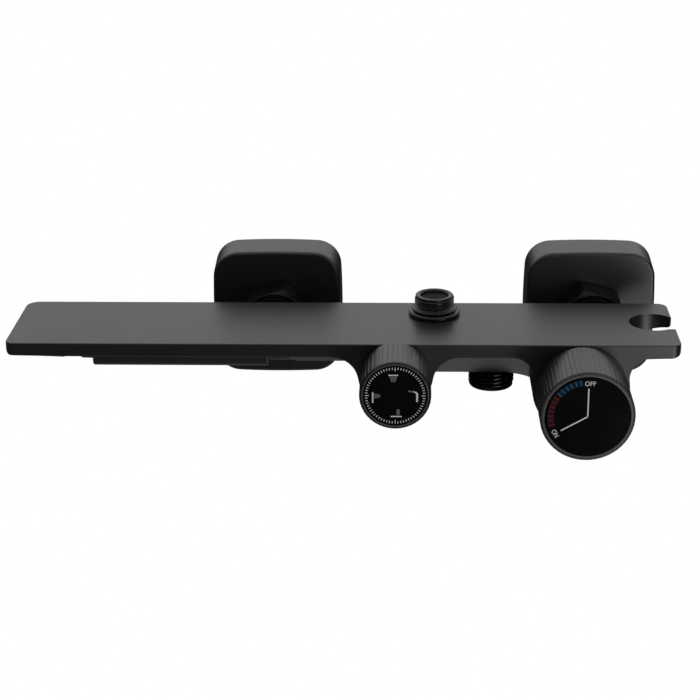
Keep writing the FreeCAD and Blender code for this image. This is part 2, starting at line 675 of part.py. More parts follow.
def on_axis(control, y):
    """Point on a control's axis."""
    return Vector(control["x"], y, control["z"])


def between(control, radius, y_back, y_front):
    """Cylinder on a control's axis."""
    return rod(radius, y_back - y_front, on_axis(control, y_back), TO_FRONT)


def ports(control, y_back, y_front):
    """Three water ports through a cartridge's base or fixed disc."""
    ring_r = control["cartridge_r"] * 0.45
    holes = []
    for step in range(3):
        angle = math.radians(90 + 120 * step)
        shift = Vector(ring_r * math.cos(angle), 0, ring_r * math.sin(angle))
        base = on_axis(control, y_back) + shift
        holes.append(rod(control["cartridge_r"] * 0.17, y_back - y_front, base, TO_FRONT))
    return holes


def base_seal(control, at):
    """Rubber face seal behind the cartridge."""
    seal = between(control, control["cartridge_r"] - 0.5, at["back"], at["base_back"])
    return seal.cut(ports(control, at["back"], at["base_back"]))


def cartridge_base(control, at):
    """Plastic foot of the cartridge."""
    foot = between(control, control["cartridge_r"], at["base_back"], at["base_front"])
    return foot.cut(ports(control, at["base_back"], at["base_front"]))


def disc_radius(control):
    """Ceramic discs fit the inside of the housing."""
    return control["cartridge_r"] - CARTRIDGE_WALL - COVER_GAP


def fixed_disc(control, at):
    """Lower ceramic disc, held still by the base."""
    disc = between(control, disc_radius(control), at["base_front"], at["disc_joint"])
    return disc.cut(ports(control, at["base_front"], at["disc_joint"]))


def moving_disc(control, at):
    """Upper ceramic disc, turned by the spindle; its pocket joins the ports."""
    back = at["disc_joint"] - FACE_GAP
    disc = between(control, disc_radius(control), back, at["carrier_back"])
    ring_r = control["cartridge_r"] * 0.45
    port_r = control["cartridge_r"] * 0.17
    groove = ring(ring_r + port_r, ring_r - port_r, DISC_THICKNESS / 2, on_axis(control, back), TO_FRONT)
    x, z = control["x"], control["z"]
    quarter = box(x, x + 20, back - DISC_THICKNESS, back, z, z + 20)
    return disc.cut(groove.cut(quarter))


def cartridge_housing(control, at):
    """Plastic cup over the discs, with a neck that guides the spindle."""
    outside = between(control, control["cartridge_r"], at["base_front"], at["shoulder"])
    neck = between(control, control["neck_r"], at["shoulder"], at["neck_front"])
    room_front = at["carrier_front"] - COVER_GAP
    room = between(control, control["cartridge_r"] - CARTRIDGE_WALL, at["base_front"], room_front)
    guide = between(control, control["spindle_r"] + RUNNING_GAP, room_front, at["neck_front"])
    return outside.fuse(neck).removeSplitter().cut([room, guide])


def spindle(control, at):
    """Brass spindle with the carrier that drives the moving disc."""
    carrier = between(control, disc_radius(control), at["carrier_back"], at["carrier_front"])
    stem = between(control, control["spindle_r"], at["carrier_front"], at["spindle_front"])
    return carrier.fuse(stem).removeSplitter()


def retaining_nut(control, at):
    """Ring nut that clamps the cartridge in its bore, with two slots for a pin spanner."""
    nut = between(control, control["nut_r"], at["shoulder"], at["neck_front"])
    bore = between(control, control["neck_r"] + SLIDING_GAP, at["shoulder"], at["neck_front"])
    half_width = control["nut_r"] + 1
    slot = box(control["x"] - half_width, control["x"] + half_width,
               at["neck_front"], at["neck_front"] + 2.5, control["z"] - 1.5, control["z"] + 1.5)
    return nut.cut([bore, slot])


def ribbed_blank(control, at):
    """Knob blank with fine vee grooves all round, except for a plain band at the back."""
    radius = control["knob_r"]
    pitch = 2 * math.pi / control["ribs"]
    half_groove = pitch * RIB_GROOVE / 2
    ribs_back = at["knob_back"] - RIB_BAND
    place = in_front_view(ribs_back)
    edges = []

    def point(r, angle):
        return place(Vector(control["x"] + r * math.sin(angle), control["z"] + r * math.cos(angle), 0))

    for rib in range(control["ribs"]):
        middle = rib * pitch
        land_start = middle - pitch / 2 + half_groove
        land_end = middle + pitch / 2 - half_groove
        groove_floor = middle + pitch / 2
        land = [point(radius, angle) for angle in (land_start, middle, land_end)]
        floor = point(radius - RIB_DEPTH, groove_floor)
        next_land = point(radius, groove_floor + half_groove)
        edges.append(Part.Arc(*land).toShape())
        edges.append(Part.LineSegment(land[2], floor).toShape())
        edges.append(Part.LineSegment(floor, next_land).toShape())
    ribs = Part.Face(Part.Wire(edges)).extrude(TO_FRONT * (ribs_back - at["rim_front"]))
    return ribs.fuse(between(control, radius, at["knob_back"], ribs_back))


def knob_shell(control, at):
    """Turned brass knob: ribbed skirt, recess for the glass, hub on the spindle."""
    radius = control["knob_r"]
    length = at["knob_back"] - at["rim_front"]
    front_edge = [(length - KNOB_EDGE, radius), (length, radius - KNOB_EDGE)]
    back_edge = [(0, radius - KNOB_EDGE), (KNOB_EDGE, radius)]
    outline = [(0, 0)] + back_edge + front_edge + [(length, 0)]
    chamfer = turned(outline, on_axis(control, at["knob_back"]), TO_FRONT)
    blank = ribbed_blank(control, at).common(chamfer)
    hub_r = control["spindle_r"] + KNOB_WALL
    hub_back = at["knob_back"] - 2.0
    inside_r = radius - RIB_DEPTH - KNOB_WALL
    room = between(control, inside_r, at["knob_back"], at["spindle_front"])
    hub = between(control, hub_r, hub_back, at["spindle_front"])
    spindle_hole = between(control, control["spindle_r"], hub_back, at["spindle_front"])
    glass_seat = between(control, control["bezel_r"], at["glass_back"], at["knob_front"])
    grub_hole = rod(GRUB_R, radius, on_axis(control, grub_depth(at)), DOWN)
    return blank.cut([room, glass_seat]).fuse(hub).cut([spindle_hole, grub_hole])


def grub_depth(at):
    """The grub screw sits halfway along the hub."""
    return (at["knob_back"] + at["spindle_front"]) / 2 - 1


def grub_screw(control, at):
    """Socket set screw that grips the spindle from below."""
    start = on_axis(control, grub_depth(at)) + DOWN * control["spindle_r"]
    screw = rod(GRUB_R, KNOB_WALL + 1.5, start, DOWN)
    socket = rod(GRUB_R * 0.5, 1.8, start + DOWN * (KNOB_WALL + 1.5), UP)
    return screw.cut(socket)


def bezel(control, at):
    """Rounded ring pressed into the knob round the glass."""
    outer = control["bezel_r"] - 0.02
    depth = at["glass_back"] - at["knob_front"]
    band = ring(outer, control["glass_r"], depth, on_axis(control, at["glass_back"]), TO_FRONT)
    front_edges = [edge for edge in band.Edges if edge.BoundBox.YMax < at["knob_front"] + 0.01]
    return band.makeFillet(BEZEL_ROUND, front_edges)


def dial_glass(control, at):
    """Black glass disc cemented into the knob's front."""
    radius = control["glass_r"] - 0.02
    edge = 0.3
    profile = [
        (0, 0), (0, radius), (GLASS_THICKNESS - edge, radius), (GLASS_THICKNESS, radius - edge),
        (GLASS_THICKNESS, 0),
    ]
    return turned(profile, on_axis(control, at["glass_back"]), TO_FRONT)


# ---------------------------------------------------------------- outlets

def riser_nipple():
    """Top outlet for the rain shower's riser pipe."""
    flange_top = RISER_FLANGE
    groove_top = flange_top + RISER_GROOVE
    collar_top = groove_top + RISER_COLLAR
    profile = [
        (-RISER_SHANK, RISER_BORE_R),
        (-RISER_SHANK, RISER_SHANK_R),
        (0, RISER_SHANK_R),
        (0, RISER_FLANGE_R - 0.3),
        (0.3, RISER_FLANGE_R),
        (flange_top - 0.5, RISER_FLANGE_R),
        (flange_top, RISER_FLANGE_R - 0.5),
        (flange_top, RISER_GROOVE_R),
        (groove_top, RISER_GROOVE_R),
        (groove_top, RISER_COLLAR_R),
        (collar_top - 0.5, RISER_COLLAR_R),
        (collar_top, RISER_COLLAR_R - 0.5),
        (collar_top, RISER_THREAD_R),
        (RISER_HEIGHT - 0.7, RISER_THREAD_R),
        (RISER_HEIGHT, RISER_THREAD_R - 0.7),
        (RISER_HEIGHT, RISER_BORE_R + 1.2),
        (RISER_HEIGHT - 0.6, RISER_BORE_R + 0.7),
        (RISER_HEIGHT - 4, RISER_BORE_R + 0.7),
        (RISER_HEIGHT - 4, RISER_BORE_R),
    ]
    return turned(profile, Vector(RISER_X, RISER_Y, BODY_TOP), UP)


def riser_seal():
    """Flat seal under the riser nipple's flange."""
    seat = Vector(RISER_X, RISER_Y, BODY_TOP)
    return ring(RISER_SEAL_R, RISER_SHANK_R + SLIDING_GAP, RISER_SEAL, seat, DOWN)


def hose_nipple():
    """Bottom outlet for the hand shower's hose."""
    profile = [
        (-HOSE_SHANK, HOSE_BORE_R),
        (-HOSE_SHANK, HOSE_SHANK_R),
        (0, HOSE_SHANK_R),
        (0, HOSE_RELIEF_R),
        (HOSE_RELIEF, HOSE_RELIEF_R),
        (HOSE_RELIEF, HOSE_THREAD_R),
        (HOSE_LENGTH - 0.8, HOSE_THREAD_R),
        (HOSE_LENGTH, HOSE_THREAD_R - 0.8),
        (HOSE_LENGTH, HOSE_BORE_R),
    ]
    return turned(profile, Vector(HOSE_X, HOSE_Y, HOUSING_FLOOR), DOWN)


def hose_check_valve():
    """Push-in check valve in the hose outlet."""
    start = Vector(HOSE_X, HOSE_Y, HOUSING_FLOOR + HOSE_SHANK)
    shell = ring(HOSE_BORE_R, 4.6, HOSE_SHANK + HOSE_LENGTH - 3.0, start, DOWN)
    cone = rod(4.7, 1.5, start + DOWN * 4, DOWN)
    return shell.fuse(cone)


def spout_frame():
    """Waterfall outlet: a bar with a long slot on a plate that is screwed into the underside."""
    lift = POCKET_STEP
    plate_profile = [(y, z + lift, r) for y, z, r in spout_plate_profile(0, EAR_THICKNESS)]
    plate_left = -(SPOUT_LEFT + EAR_LEFT)
    plate = prism(plate_profile, in_side_view(plate_left), Vector(SPOUT_LENGTH + EAR_LEFT + EAR_RIGHT, 0, 0))
    front = BODY_FRONT + SPOUT_FRONT
    bottom = BODY_TOP - SPOUT_BOTTOM
    back = BODY_FRONT + (LIP_BOTTOM + lift - bottom) / UNDERSIDE_SLOPE
    bar_profile = [
        (front, underside(front) + lift + EAR_THICKNESS, 0),
        (front, bottom, SPOUT_BEVEL),
        (back, bottom, 0),
        (back, bottom + EAR_THICKNESS, 0),
    ]
    bar = prism(bar_profile, in_side_view(-SPOUT_LEFT), Vector(SPOUT_LENGTH, 0, 0))
    across = [edge for edge in bar.Edges if abs(edge.BoundBox.XLength) < 0.01]
    ends = [edge for edge in across if edge.BoundBox.YMax < front + 0.01]
    bar = bar.makeFillet(SPOUT_BEVEL / 2, ends)
    slot_x, slot_y = slot_corner()
    slot = box(slot_x, slot_x + SLOT_LENGTH, slot_y, slot_y + SLOT_WIDTH, bottom - 1, LIP_BOTTOM + 6)
    heads = []
    for x in screw_places():
        seat = ear_face(x, lift)
        heads.append(rod(SCREW_R, 4, seat, -slope_normal()))
        heads.append(screw_head(seat))
    return plate.fuse(bar).removeSplitter().cut([slot] + heads)


def screw_head(seat):
    """Countersunk head with its face at seat."""
    depth = SCREW_HEAD_R - SCREW_R
    return Part.makeCone(SCREW_HEAD_R, SCREW_R, depth, seat, -slope_normal())


def spout_screws():
    """Two countersunk screws with hexagon sockets, through the plate's ears."""
    screws = []
    for x in screw_places():
        seat = ear_face(x, POCKET_STEP)
        shank = rod(SCREW_R, 6.0, seat, -slope_normal())
        socket = rod(1.0, 1.0, seat, -slope_normal())
        screws.append(shank.fuse(screw_head(seat)).cut(socket))
    return Part.makeCompound(screws)


def spout_gasket():
    """Rubber gasket between the plate and the casting."""
    lift = POCKET_STEP + EAR_THICKNESS
    profile = [(y, z + lift, r) for y, z, r in spout_plate_profile(0, GASKET_THICKNESS)]
    left = -(SPOUT_LEFT + EAR_LEFT)
    sheet = prism(profile, in_side_view(left), Vector(SPOUT_LENGTH + EAR_LEFT + EAR_RIGHT, 0, 0))
    slot_x, slot_y = slot_corner()
    opening = box(slot_x - 1, slot_x + SLOT_LENGTH + 1, slot_y - 0.5, slot_y + SLOT_WIDTH + 0.5, 0, BODY_TOP)
    holes = [rod(SCREW_R + 0.2, 10, ear_face(x, 0), -slope_normal()) for x in screw_places()]
    return sheet.cut([opening] + holes)


def flow_straightener():
    """Comb of thin ribs in the slot that keeps the sheet of water smooth."""
    slot_x, slot_y = slot_corner()
    bottom = BODY_TOP - SPOUT_BOTTOM + 0.6
    rim = 0.7
    grille_top = bottom + GRILLE_THICKNESS
    outside = box(slot_x, slot_x + SLOT_LENGTH, slot_y, slot_y + SLOT_WIDTH, bottom, grille_top)
    pitch = (SLOT_LENGTH - rim) / GRILLE_BARS
    gaps = []
    for bar in range(GRILLE_BARS):
        left = slot_x + rim + bar * pitch
        gaps.append(box(left, left + pitch - rim, slot_y + rim, slot_y + SLOT_WIDTH - rim,
                        bottom, bottom + GRILLE_THICKNESS))
    return outside.cut(gaps)


# ---------------------------------------------------------------- write every piece

def write_control(control, knob_name):
    """Cartridge, knob and dial of one control."""
    at = control_layout(control)
    name = control["name"]
    save(name + "_base_seal", base_seal(control, at))
    save(name + "_cartridge_base", cartridge_base(control, at))
    save(name + "_cartridge_housing", cartridge_housing(control, at))
    save(name + "_fixed_disc", fixed_disc(control, at))
    save(name + "_moving_disc", moving_disc(control, at))
    save(name + "_spindle", spindle(control, at))
    save(name + "_retaining_nut", retaining_nut(control, at))
    save(knob_name, knob_shell(control, at))
    save(knob_name + "_bezel", bezel(control, at))
    save(knob_name + "_glass", dial_glass(control, at))
    save(knob_name + "_grub_screw", grub_screw(control, at))


def main():
    os.makedirs("parts", exist_ok=True)
    save("mixer_body", mixer_body())
    for side, x in SIDES.items():
        save(side + "_inlet_nipple", inlet_nipple(x))
        save(side + "_wall_union", eccentric_union(x))
        save(side + "_union_nut", union_nut(x, math.copysign(NUT_TURN, -x)))
        save(side + "_cover_plate", cover_plate(x))
    save("inlet_washers", Part.makeCompound([inlet_washer(x) for x in SIDES.values()]))
    save("inlet_check_valves", Part.makeCompound([check_valve(x) for x in SIDES.values()]))
    write_control(MIXER, "mixing_knob")
    write_control(DIVERTER, "diverter_knob")
    save("riser_nipple", riser_nipple())
    save("riser_seal", riser_seal())
    save("hose_nipple", hose_nipple())
    save("hose_check_valve", hose_check_valve())
    save("spout_frame", spout_frame())
    save("spout_screws", spout_screws())
    save("spout_gasket", spout_gasket())
    save("flow_straightener", flow_straightener())


main()
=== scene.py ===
import math

import bmesh
import bpy
from mathutils import Matrix, Vector


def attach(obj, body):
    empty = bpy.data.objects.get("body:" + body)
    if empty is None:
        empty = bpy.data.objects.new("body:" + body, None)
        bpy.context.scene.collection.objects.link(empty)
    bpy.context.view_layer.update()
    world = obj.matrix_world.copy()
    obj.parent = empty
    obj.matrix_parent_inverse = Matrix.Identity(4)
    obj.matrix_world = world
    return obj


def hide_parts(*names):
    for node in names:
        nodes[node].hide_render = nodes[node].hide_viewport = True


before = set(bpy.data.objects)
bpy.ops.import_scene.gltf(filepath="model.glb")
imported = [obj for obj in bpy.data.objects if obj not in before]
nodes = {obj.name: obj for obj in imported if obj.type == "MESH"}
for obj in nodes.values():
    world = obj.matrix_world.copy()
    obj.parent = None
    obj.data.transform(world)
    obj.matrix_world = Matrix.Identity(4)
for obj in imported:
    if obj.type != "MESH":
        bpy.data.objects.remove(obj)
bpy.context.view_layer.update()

scene = bpy.context.scene
MM = 0.001

# ---------------------------------------------------------------- where it is seen from
# A long lens stands a little above the shelf and left of the middle, looking down at it.

camera_data = bpy.data.cameras.new("camera")
camera_data.sensor_width = 36.0
camera_data.lens = 91.06
camera = bpy.data.objects.new("camera", camera_data)
yaw = math.radians(1.97)
pitch = math.radians(21.19)
roll = math.radians(-0.47)
place = Matrix.Translation((-0.0125, -0.8192, 0.285))
tip = Matrix.Rotation(math.pi / 2 - pitch, 4, "X")
camera.matrix_world = place @ (Matrix.Rotation(yaw, 4, "Z") @ tip @ Matrix.Rotation(roll, 4, "Z"))
scene.collection.objects.link(camera)
scene.camera = camera

# ---------------------------------------------------------------- shelf body
# One brass casting, ground smooth and then sprayed with matt black lacquer, which the two square cover plates
# carry too. It holds the controls in its two bosses, and its slotted right end holds the hand shower.


def linear(hex_code):
    """Turn an sRGB hex colour into the linear colour that a shader wants."""
    parts = [int(hex_code[i:i + 2], 16) / 255 for i in (0, 2, 4)]
    return [c / 12.92 if c <= 0.04045 else ((c + 0.055) / 1.055) ** 2.4 for c in parts] + [1.0]


def add(tree, kind, settings=None, links=None):
    """Add a node, set its properties and sockets, and link other nodes' outputs to its sockets."""
    made = tree.nodes.new(kind)
    for key, value in (settings or {}).items():
        if isinstance(key, int) or key in made.inputs:
            made.inputs[key].default_value = value
        else:
            setattr(made, key, value)
    for key, source in (links or {}).items():
        tree.links.new(source, made.inputs[key])
    return made


def empty_material(name):
    """A material with no nodes yet, and its tree."""
    material = bpy.data.materials.new(name)
    material.use_nodes = True
    material.node_tree.nodes.clear()
    return material, material.node_tree


CLOUD_SIZE = 40


def finish(name, dark, light, roughness, spread, grain_mm, relief_mm, shader):
    """A surface whose fine grain shifts colour, roughness and height, with broad clouds in the roughness."""
    limits = {"From Min": 0.3, "From Max": 0.7}
    material, tree = empty_material(name)
    place = add(tree, "ShaderNodeTexCoord")
    grain = add(tree, "ShaderNodeTexNoise", {"Scale": 1 / (grain_mm * MM), "Detail": 3.0},
                {"Vector": place.outputs["Object"]})
    cloud = add(tree, "ShaderNodeTexNoise", {"Scale": 1 / (CLOUD_SIZE * MM), "Detail": 2.0},
                {"Vector": place.outputs["Object"]})
    colour = add(tree, "ShaderNodeMix", {"data_type": "RGBA"}, {"Factor": grain.outputs["Fac"]})
    colour.inputs["A"].default_value = linear(dark)
    colour.inputs["B"].default_value = linear(light)
    fine = add(tree, "ShaderNodeMapRange", {**limits, "To Min": -spread, "To Max": spread},
               {"Value": grain.outputs["Fac"]})
    broad = add(tree, "ShaderNodeMapRange",
                {**limits, "To Min": roughness - spread, "To Max": roughness + spread},
                {"Value": cloud.outputs["Fac"]})
    rough = add(tree, "ShaderNodeMath", {"operation": "ADD"},
                {0: fine.outputs["Result"], 1: broad.outputs["Result"]})
    relief = add(tree, "ShaderNodeBump", {"Strength": 1.0, "Distance": relief_mm * MM},
                 {"Height": grain.outputs["Fac"]})
    skin = add(tree, "ShaderNodeBsdfPrincipled", shader,
               {"Base Color": colour.outputs["Result"], "Roughness": rough.outputs["Value"],
                "Normal": relief.outputs["Normal"]})
    add(tree, "ShaderNodeOutputMaterial", {}, {"Surface": skin.outputs["BSDF"]})
    return material


def dress(names, material):
    """Give CAD nodes a material."""
    for name in names:
        nodes[name].data.materials.clear()
        nodes[name].data.materials.append(material)


# Flatted two-pack lacquer: nearly black face on, pale and even where it is seen flat against the light. Its
# flatting grains are finer than this; they are drawn 0.8 mm across so that they show as a faint speckle.
matt_lacquer = finish("matt_black_lacquer", "0E0E0F", "131314", 0.37, 0.012, 0.8, 0.0008, {"IOR": 1.5})
dress(["mixer_body"], matt_lacquer)

# ---------------------------------------------------------------- wall unions, nuts and cover plates
# Cast brass eccentric unions screw into the wall, and black hexagon nuts pull the body's nipples onto them.
# A deep drawn square cover plate slides over each union and hides the hole in the tiles.

dress(["left_cover_plate", "right_cover_plate"], matt_lacquer)

# Thin satin black coat on machined pieces: closer grained, darker and crisper than the body's lacquer.
satin_coat = finish("satin_black_coat", "060606", "0A0A0B", 0.24, 0.02, 0.5, 0.001,
                    {"IOR": 1.5, "Specular IOR Level": 0.28})
dress(["left_union_nut", "right_union_nut", "left_inlet_nipple", "right_inlet_nipple"], satin_coat)

# Turned brass, left bare: warm yellow, with fine tool marks that blur its reflections.
brass = finish("turned_brass", "A98743", "C9A75C", 0.30, 0.05, 0.6, 0.004, {"Metallic": 1.0})


STEPS_PER_TURN = 36
RIDGE_FOOT = 0.44
RIDGE_CREST = 0.08
RIDGE_SUNK = 0.05


def thread_ridge(bm, start, along, crest, root, pitch, length):
    """Closed helical ridge of a thread, from start along the axis, added to a bmesh. Sizes in millimetres.

    Its width is given in pitches, and its foot is sunk into the root cylinder.
    """
    side = Vector((1, 0, 0)) if abs(along.x) < 0.5 else Vector((0, 1, 0))
    turns = length / pitch - 1
    steps = round(STEPS_PER_TURN * turns)
    foot = root - RIDGE_SUNK
    corners = [(foot, -RIDGE_FOOT), (crest, -RIDGE_CREST), (crest, RIDGE_CREST), (foot, RIDGE_FOOT)]
    ring = [bm.verts.new((start + side * r + along * (pitch * (0.5 + t))) * MM) for r, t in corners]
    profile = bm.faces.new(ring)
    rise = along * (pitch * turns / steps * MM)
    bmesh.ops.spin(bm, geom=[profile], cent=start * MM, axis=along, dvec=rise, angle=2 * math.pi * turns,
                   steps=steps, use_merge=False, use_duplicate=False)


def cut_thread(name, node, start, along, crest, root, pitch, length, material):
    """A CAD piece's own shape, with its plain thread cylinder turned down and a real thread on it."""
    bm = bmesh.new()
    bm.from_mesh(nodes[node].data)
    bmesh.ops.remove_doubles(bm, verts=bm.verts, dist=0.002 * MM)
    for vert in bm.verts:
        offset = vert.co / MM - start
        height = offset.dot(along)
        spoke = offset - along * height
        if abs(spoke.length - crest) < 0.02 and -0.1 < height < length + 0.1:
            vert.co = (start + along * height + spoke * (root / spoke.length)) * MM
    thread_ridge(bm, start, along, crest, root, pitch, length)
    bmesh.ops.recalc_face_normals(bm, faces=bm.faces)
    mesh = bpy.data.meshes.new(name)
    bm.to_mesh(mesh)
    bm.free()
    mesh.set_sharp_from_angle(angle=math.radians(35))
    mesh.materials.append(material)
    piece = bpy.data.objects.new(name, mesh)
    scene.collection.objects.link(piece)
    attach(piece, "mixer")
    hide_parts(node)


G_HALF_PITCH = 1.814
G_HALF_CREST = 10.48
G_HALF_ROOT = 9.4
INLET_SPREAD = 75
WALL_THREAD_LENGTH = 18.0
for side, x in (("left", -INLET_SPREAD), ("right", INLET_SPREAD)):
    cut_thread(side + "_wall_union_threaded", side + "_wall_union", Vector((x, 0, 0)), Vector((0, 1, 0)),
               G_HALF_CREST, G_HALF_ROOT, G_HALF_PITCH, WALL_THREAD_LENGTH - 0.6, brass)

# ---------------------------------------------------------------- riser outlet
# Brass nipple with a flange and collar, screwed down on the shelf on a flat seal. An M18 x 1 thread takes the
# union nut of a riser pipe. It has the nuts' satin black coat.

SHELF_TOP = 7.0
RISER_Y = -56
M18_CREST = 9.0
M18_ROOT = 8.6
M18_PITCH = 1.0
RISER_THREAD_LENGTH = 5.1
cut_thread("riser_nipple_threaded", "riser_nipple", Vector((0, RISER_Y, SHELF_TOP + 3.6)), Vector((0, 0, 1)),
           M18_CREST, M18_ROOT, M18_PITCH, RISER_THREAD_LENGTH, satin_coat)

# ---------------------------------------------------------------- hose outlet
# Brass nipple screwed up into the floor of the body's middle housing, in the same satin black coat. Its
# G 1/2 thread takes the hand shower's hose.

HOUSING_FLOOR = -16.5
HOSE_X = 26.5
HOSE_Y = -57
HOSE_THREAD_LENGTH = 8.4
cut_thread("hose_nipple_threaded", "hose_nipple", Vector((HOSE_X, HOSE_Y, HOUSING_FLOOR - 1.2)),
           Vector((0, 0, -1)), G_HALF_CREST, G_HALF_ROOT, G_HALF_PITCH, HOSE_THREAD_LENGTH,
           satin_coat)

# ---------------------------------------------------------------- knobs
# Each knob is turned from brass, knurled with straight ribs and lacquered, and a rounded bezel ring is
# pressed in round its glass.

# The same black, sprayed thinner so that the ribs stay crisp: a little smoother than the body's.
knob_lacquer = finish("satin_black_lacquer", "0E0E0F", "131314", 0.34, 0.012, 0.6, 0.0006,
                      {"IOR": 1.5, "Specular IOR Level": 0.42})
dress(["mixing_knob", "diverter_knob"], knob_lacquer)

# Bezel rings in a grey colour that is a painted highlight: it stands in for the light that each rounded rim
# catches, and draws a soft grey line round each dial.
grey_painted_highlight = finish("bezel_grey_painted_highlight", "343436", "3F3F41", 0.38, 0.03, 0.4, 0.002, {"IOR": 1.5})
dress(["mixing_knob_bezel", "diverter_knob_bezel"], grey_painted_highlight)

# ---------------------------------------------------------------- dial glasses
# A disc of toughened glass, painted black on its back and given a low-glare face, is cemented into each knob.

# Low-glare black glass: flat deep black with a faint wiped haze and almost no mirror image.
dial_glass = finish("low_glare_black_glass", "090909", "0C0C0D", 0.16, 0.03, 12.0, 0.0002,
                    {"IOR": 1.5, "Specular IOR Level": 0.03})
dress(["mixing_knob_glass", "diverter_knob_glass"], dial_glass)

# ---------------------------------------------------------------- dial markings
# Screen printed ink, a few hundredths of a millimetre thick, on the face of each glass: a ring of ticks and
# four outlet signs on the diverter, and OFF, ON and a cold to hot scale on the mixer.

INK_THICKNESS = 0.04


def ink(name, dark, light, glow):
    """Opaque ink, slightly uneven in colour. It glows a little, so that it reads crisp on the black."""
    return finish(name, dark, light, 0.5, 0.03, 0.5, 0.001,
                  {"IOR": 1.45, "Specular IOR Level": 0.08, "Emission Color": linear(light),
                   "Emission Strength": glow})


white_ink = ink("white_screen_ink", "AEAEAE", "C0C0C0", 0.12)
grey_ink = ink("grey_screen_ink", "505050", "646464", 0.1)
blue_ink = ink("blue_screen_ink", "1E4560", "265270", 0.06)
deep_blue_ink = ink("deep_blue_screen_ink", "04131F", "071C2E", 0.1)
red_ink = ink("red_screen_ink", "4C141D", "5C1B25", 0.06)
deep_red_ink = ink("deep_red_screen_ink", "1E0609", "28090E", 0.1)


def stroke(bm, u, v, width, height, turn):
    """Flat bar centred at (u, v) on a dial, turned anticlockwise by an angle in degrees."""
    place = Matrix.Translation((u, v, 0)) @ Matrix.Rotation(math.radians(turn), 4, "Z")
    shape = place @ Matrix.Diagonal((width, height, 1, 1))
    bmesh.ops.create_grid(bm, x_segments=1, y_segments=1, size=0.5, matrix=shape)


def radial(bm, clock, inner, outer, width):
    """Bar along a radius, at an angle anticlockwise from the top in degrees."""
    middle = (inner + outer) / 2
    angle = math.radians(clock)
    stroke(bm, -middle * math.sin(angle), middle * math.cos(angle), width, outer - inner, clock)


def fan(bm, start, end, inner, outer):
    """Flat ring sector between two angles, anticlockwise from the top in degrees."""
    low = Matrix.Rotation(math.radians(start), 3, "Z") @ Vector((0, inner, 0))
    high = Matrix.Rotation(math.radians(start), 3, "Z") @ Vector((0, outer, 0))
    edge = bm.edges.new((bm.verts.new(low), bm.verts.new(high)))
    bmesh.ops.spin(bm, geom=[edge], cent=(0, 0, 0), axis=(0, 0, 1), angle=math.radians(end - start), steps=24)


def poly(bm, outline):
    """Flat piece with straight sides."""
    bm.faces.new([bm.verts.new((u, v, 0)) for u, v in outline])


def print_on(name, bm, centre, body, material, lift):
    """Thicken flat artwork and lay it on a dial. centre is the middle of the glass's face, in millimetres."""
    raised = bmesh.ops.extrude_face_region(bm, geom=list(bm.faces), use_keep_orig=True)
    top = [item for item in raised["geom"] if isinstance(item, bmesh.types.BMVert)]
    bmesh.ops.translate(bm, verts=top, vec=(0, 0, lift))
    bmesh.ops.recalc_face_normals(bm, faces=bm.faces)
    stand_up = Matrix.Translation(centre) @ Matrix.Rotation(math.pi / 2, 4, "X")
    bm.transform(Matrix.Scale(MM, 4) @ stand_up)
    mesh = bpy.data.meshes.new(name)
    bm.to_mesh(mesh)
    bm.free()
    mesh.materials.append(material)
    piece = bpy.data.objects.new(name, mesh)
    scene.collection.objects.link(piece)
    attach(piece, body)


def lettering(bm, word, height, width, u, v, turn):
    """Add a word in plain block capitals, centred at (u, v)."""
    curve = bpy.data.curves.new(word, "FONT")
    curve.body = word
    curve.align_x = "CENTER"
    curve.align_y = "CENTER"
    text = bpy.data.objects.new(word, curve)
    scene.collection.objects.link(text)
    mesh = bpy.data.meshes.new_from_object(text.evaluated_get(bpy.context.evaluated_depsgraph_get()))
    us = [vert.co.x for vert in mesh.vertices]
    vs = [vert.co.y for vert in mesh.vertices]
    middle = Vector(((min(us) + max(us)) / 2, (min(vs) + max(vs)) / 2, 0))
    size = Matrix.Diagonal((width / (max(us) - min(us)), height / (max(vs) - min(vs)), 1, 1))
    place = Matrix.Translation((u, v, 0)) @ Matrix.Rotation(math.radians(turn), 4, "Z")
    mesh.transform(place @ size @ Matrix.Translation(-middle))
    bm.from_mesh(mesh)
    bpy.data.objects.remove(text)
    bpy.data.curves.remove(curve)
    bpy.data.meshes.remove(mesh)


DIVERTER_DIAL = Vector((-17.4, -119.9, -7.15))
MIXING_DIAL = Vector((64.3, -126.6, -13.6))

TICK_COUNT = 64
TICK_OUTER = 12.98
TICK_INNER = 11.95
LONG_TICK_INNER = 11.3
TICK_WIDTH = 0.33
ticks = bmesh.new()
for tick in range(TICK_COUNT):
    quadrant = tick % (TICK_COUNT // 4) == 0
    radial(ticks, tick * 360 / TICK_COUNT, LONG_TICK_INNER if quadrant else TICK_INNER, TICK_OUTER, TICK_WIDTH)
stroke(ticks, -0.8, 9.4, 4.2, 0.5, 0)
stroke(ticks, -9.6, -0.9, 0.62, 4.9, 0)
stroke(ticks, 0.45, -9.65, 4.8, 0.5, 0)
stroke(ticks, 9.4, -1.0, 0.8, 3.7, 0)
poly(ticks, [(9.8, 0.85), (9.0, 0.85), (8.4, 1.45), (7.6, 1.7), (7.6, 2.1), (8.6, 1.95), (9.4, 1.5)])
print_on("diverter_dial_white_print", ticks, DIVERTER_DIAL, "diverter_knob", white_ink, INK_THICKNESS)

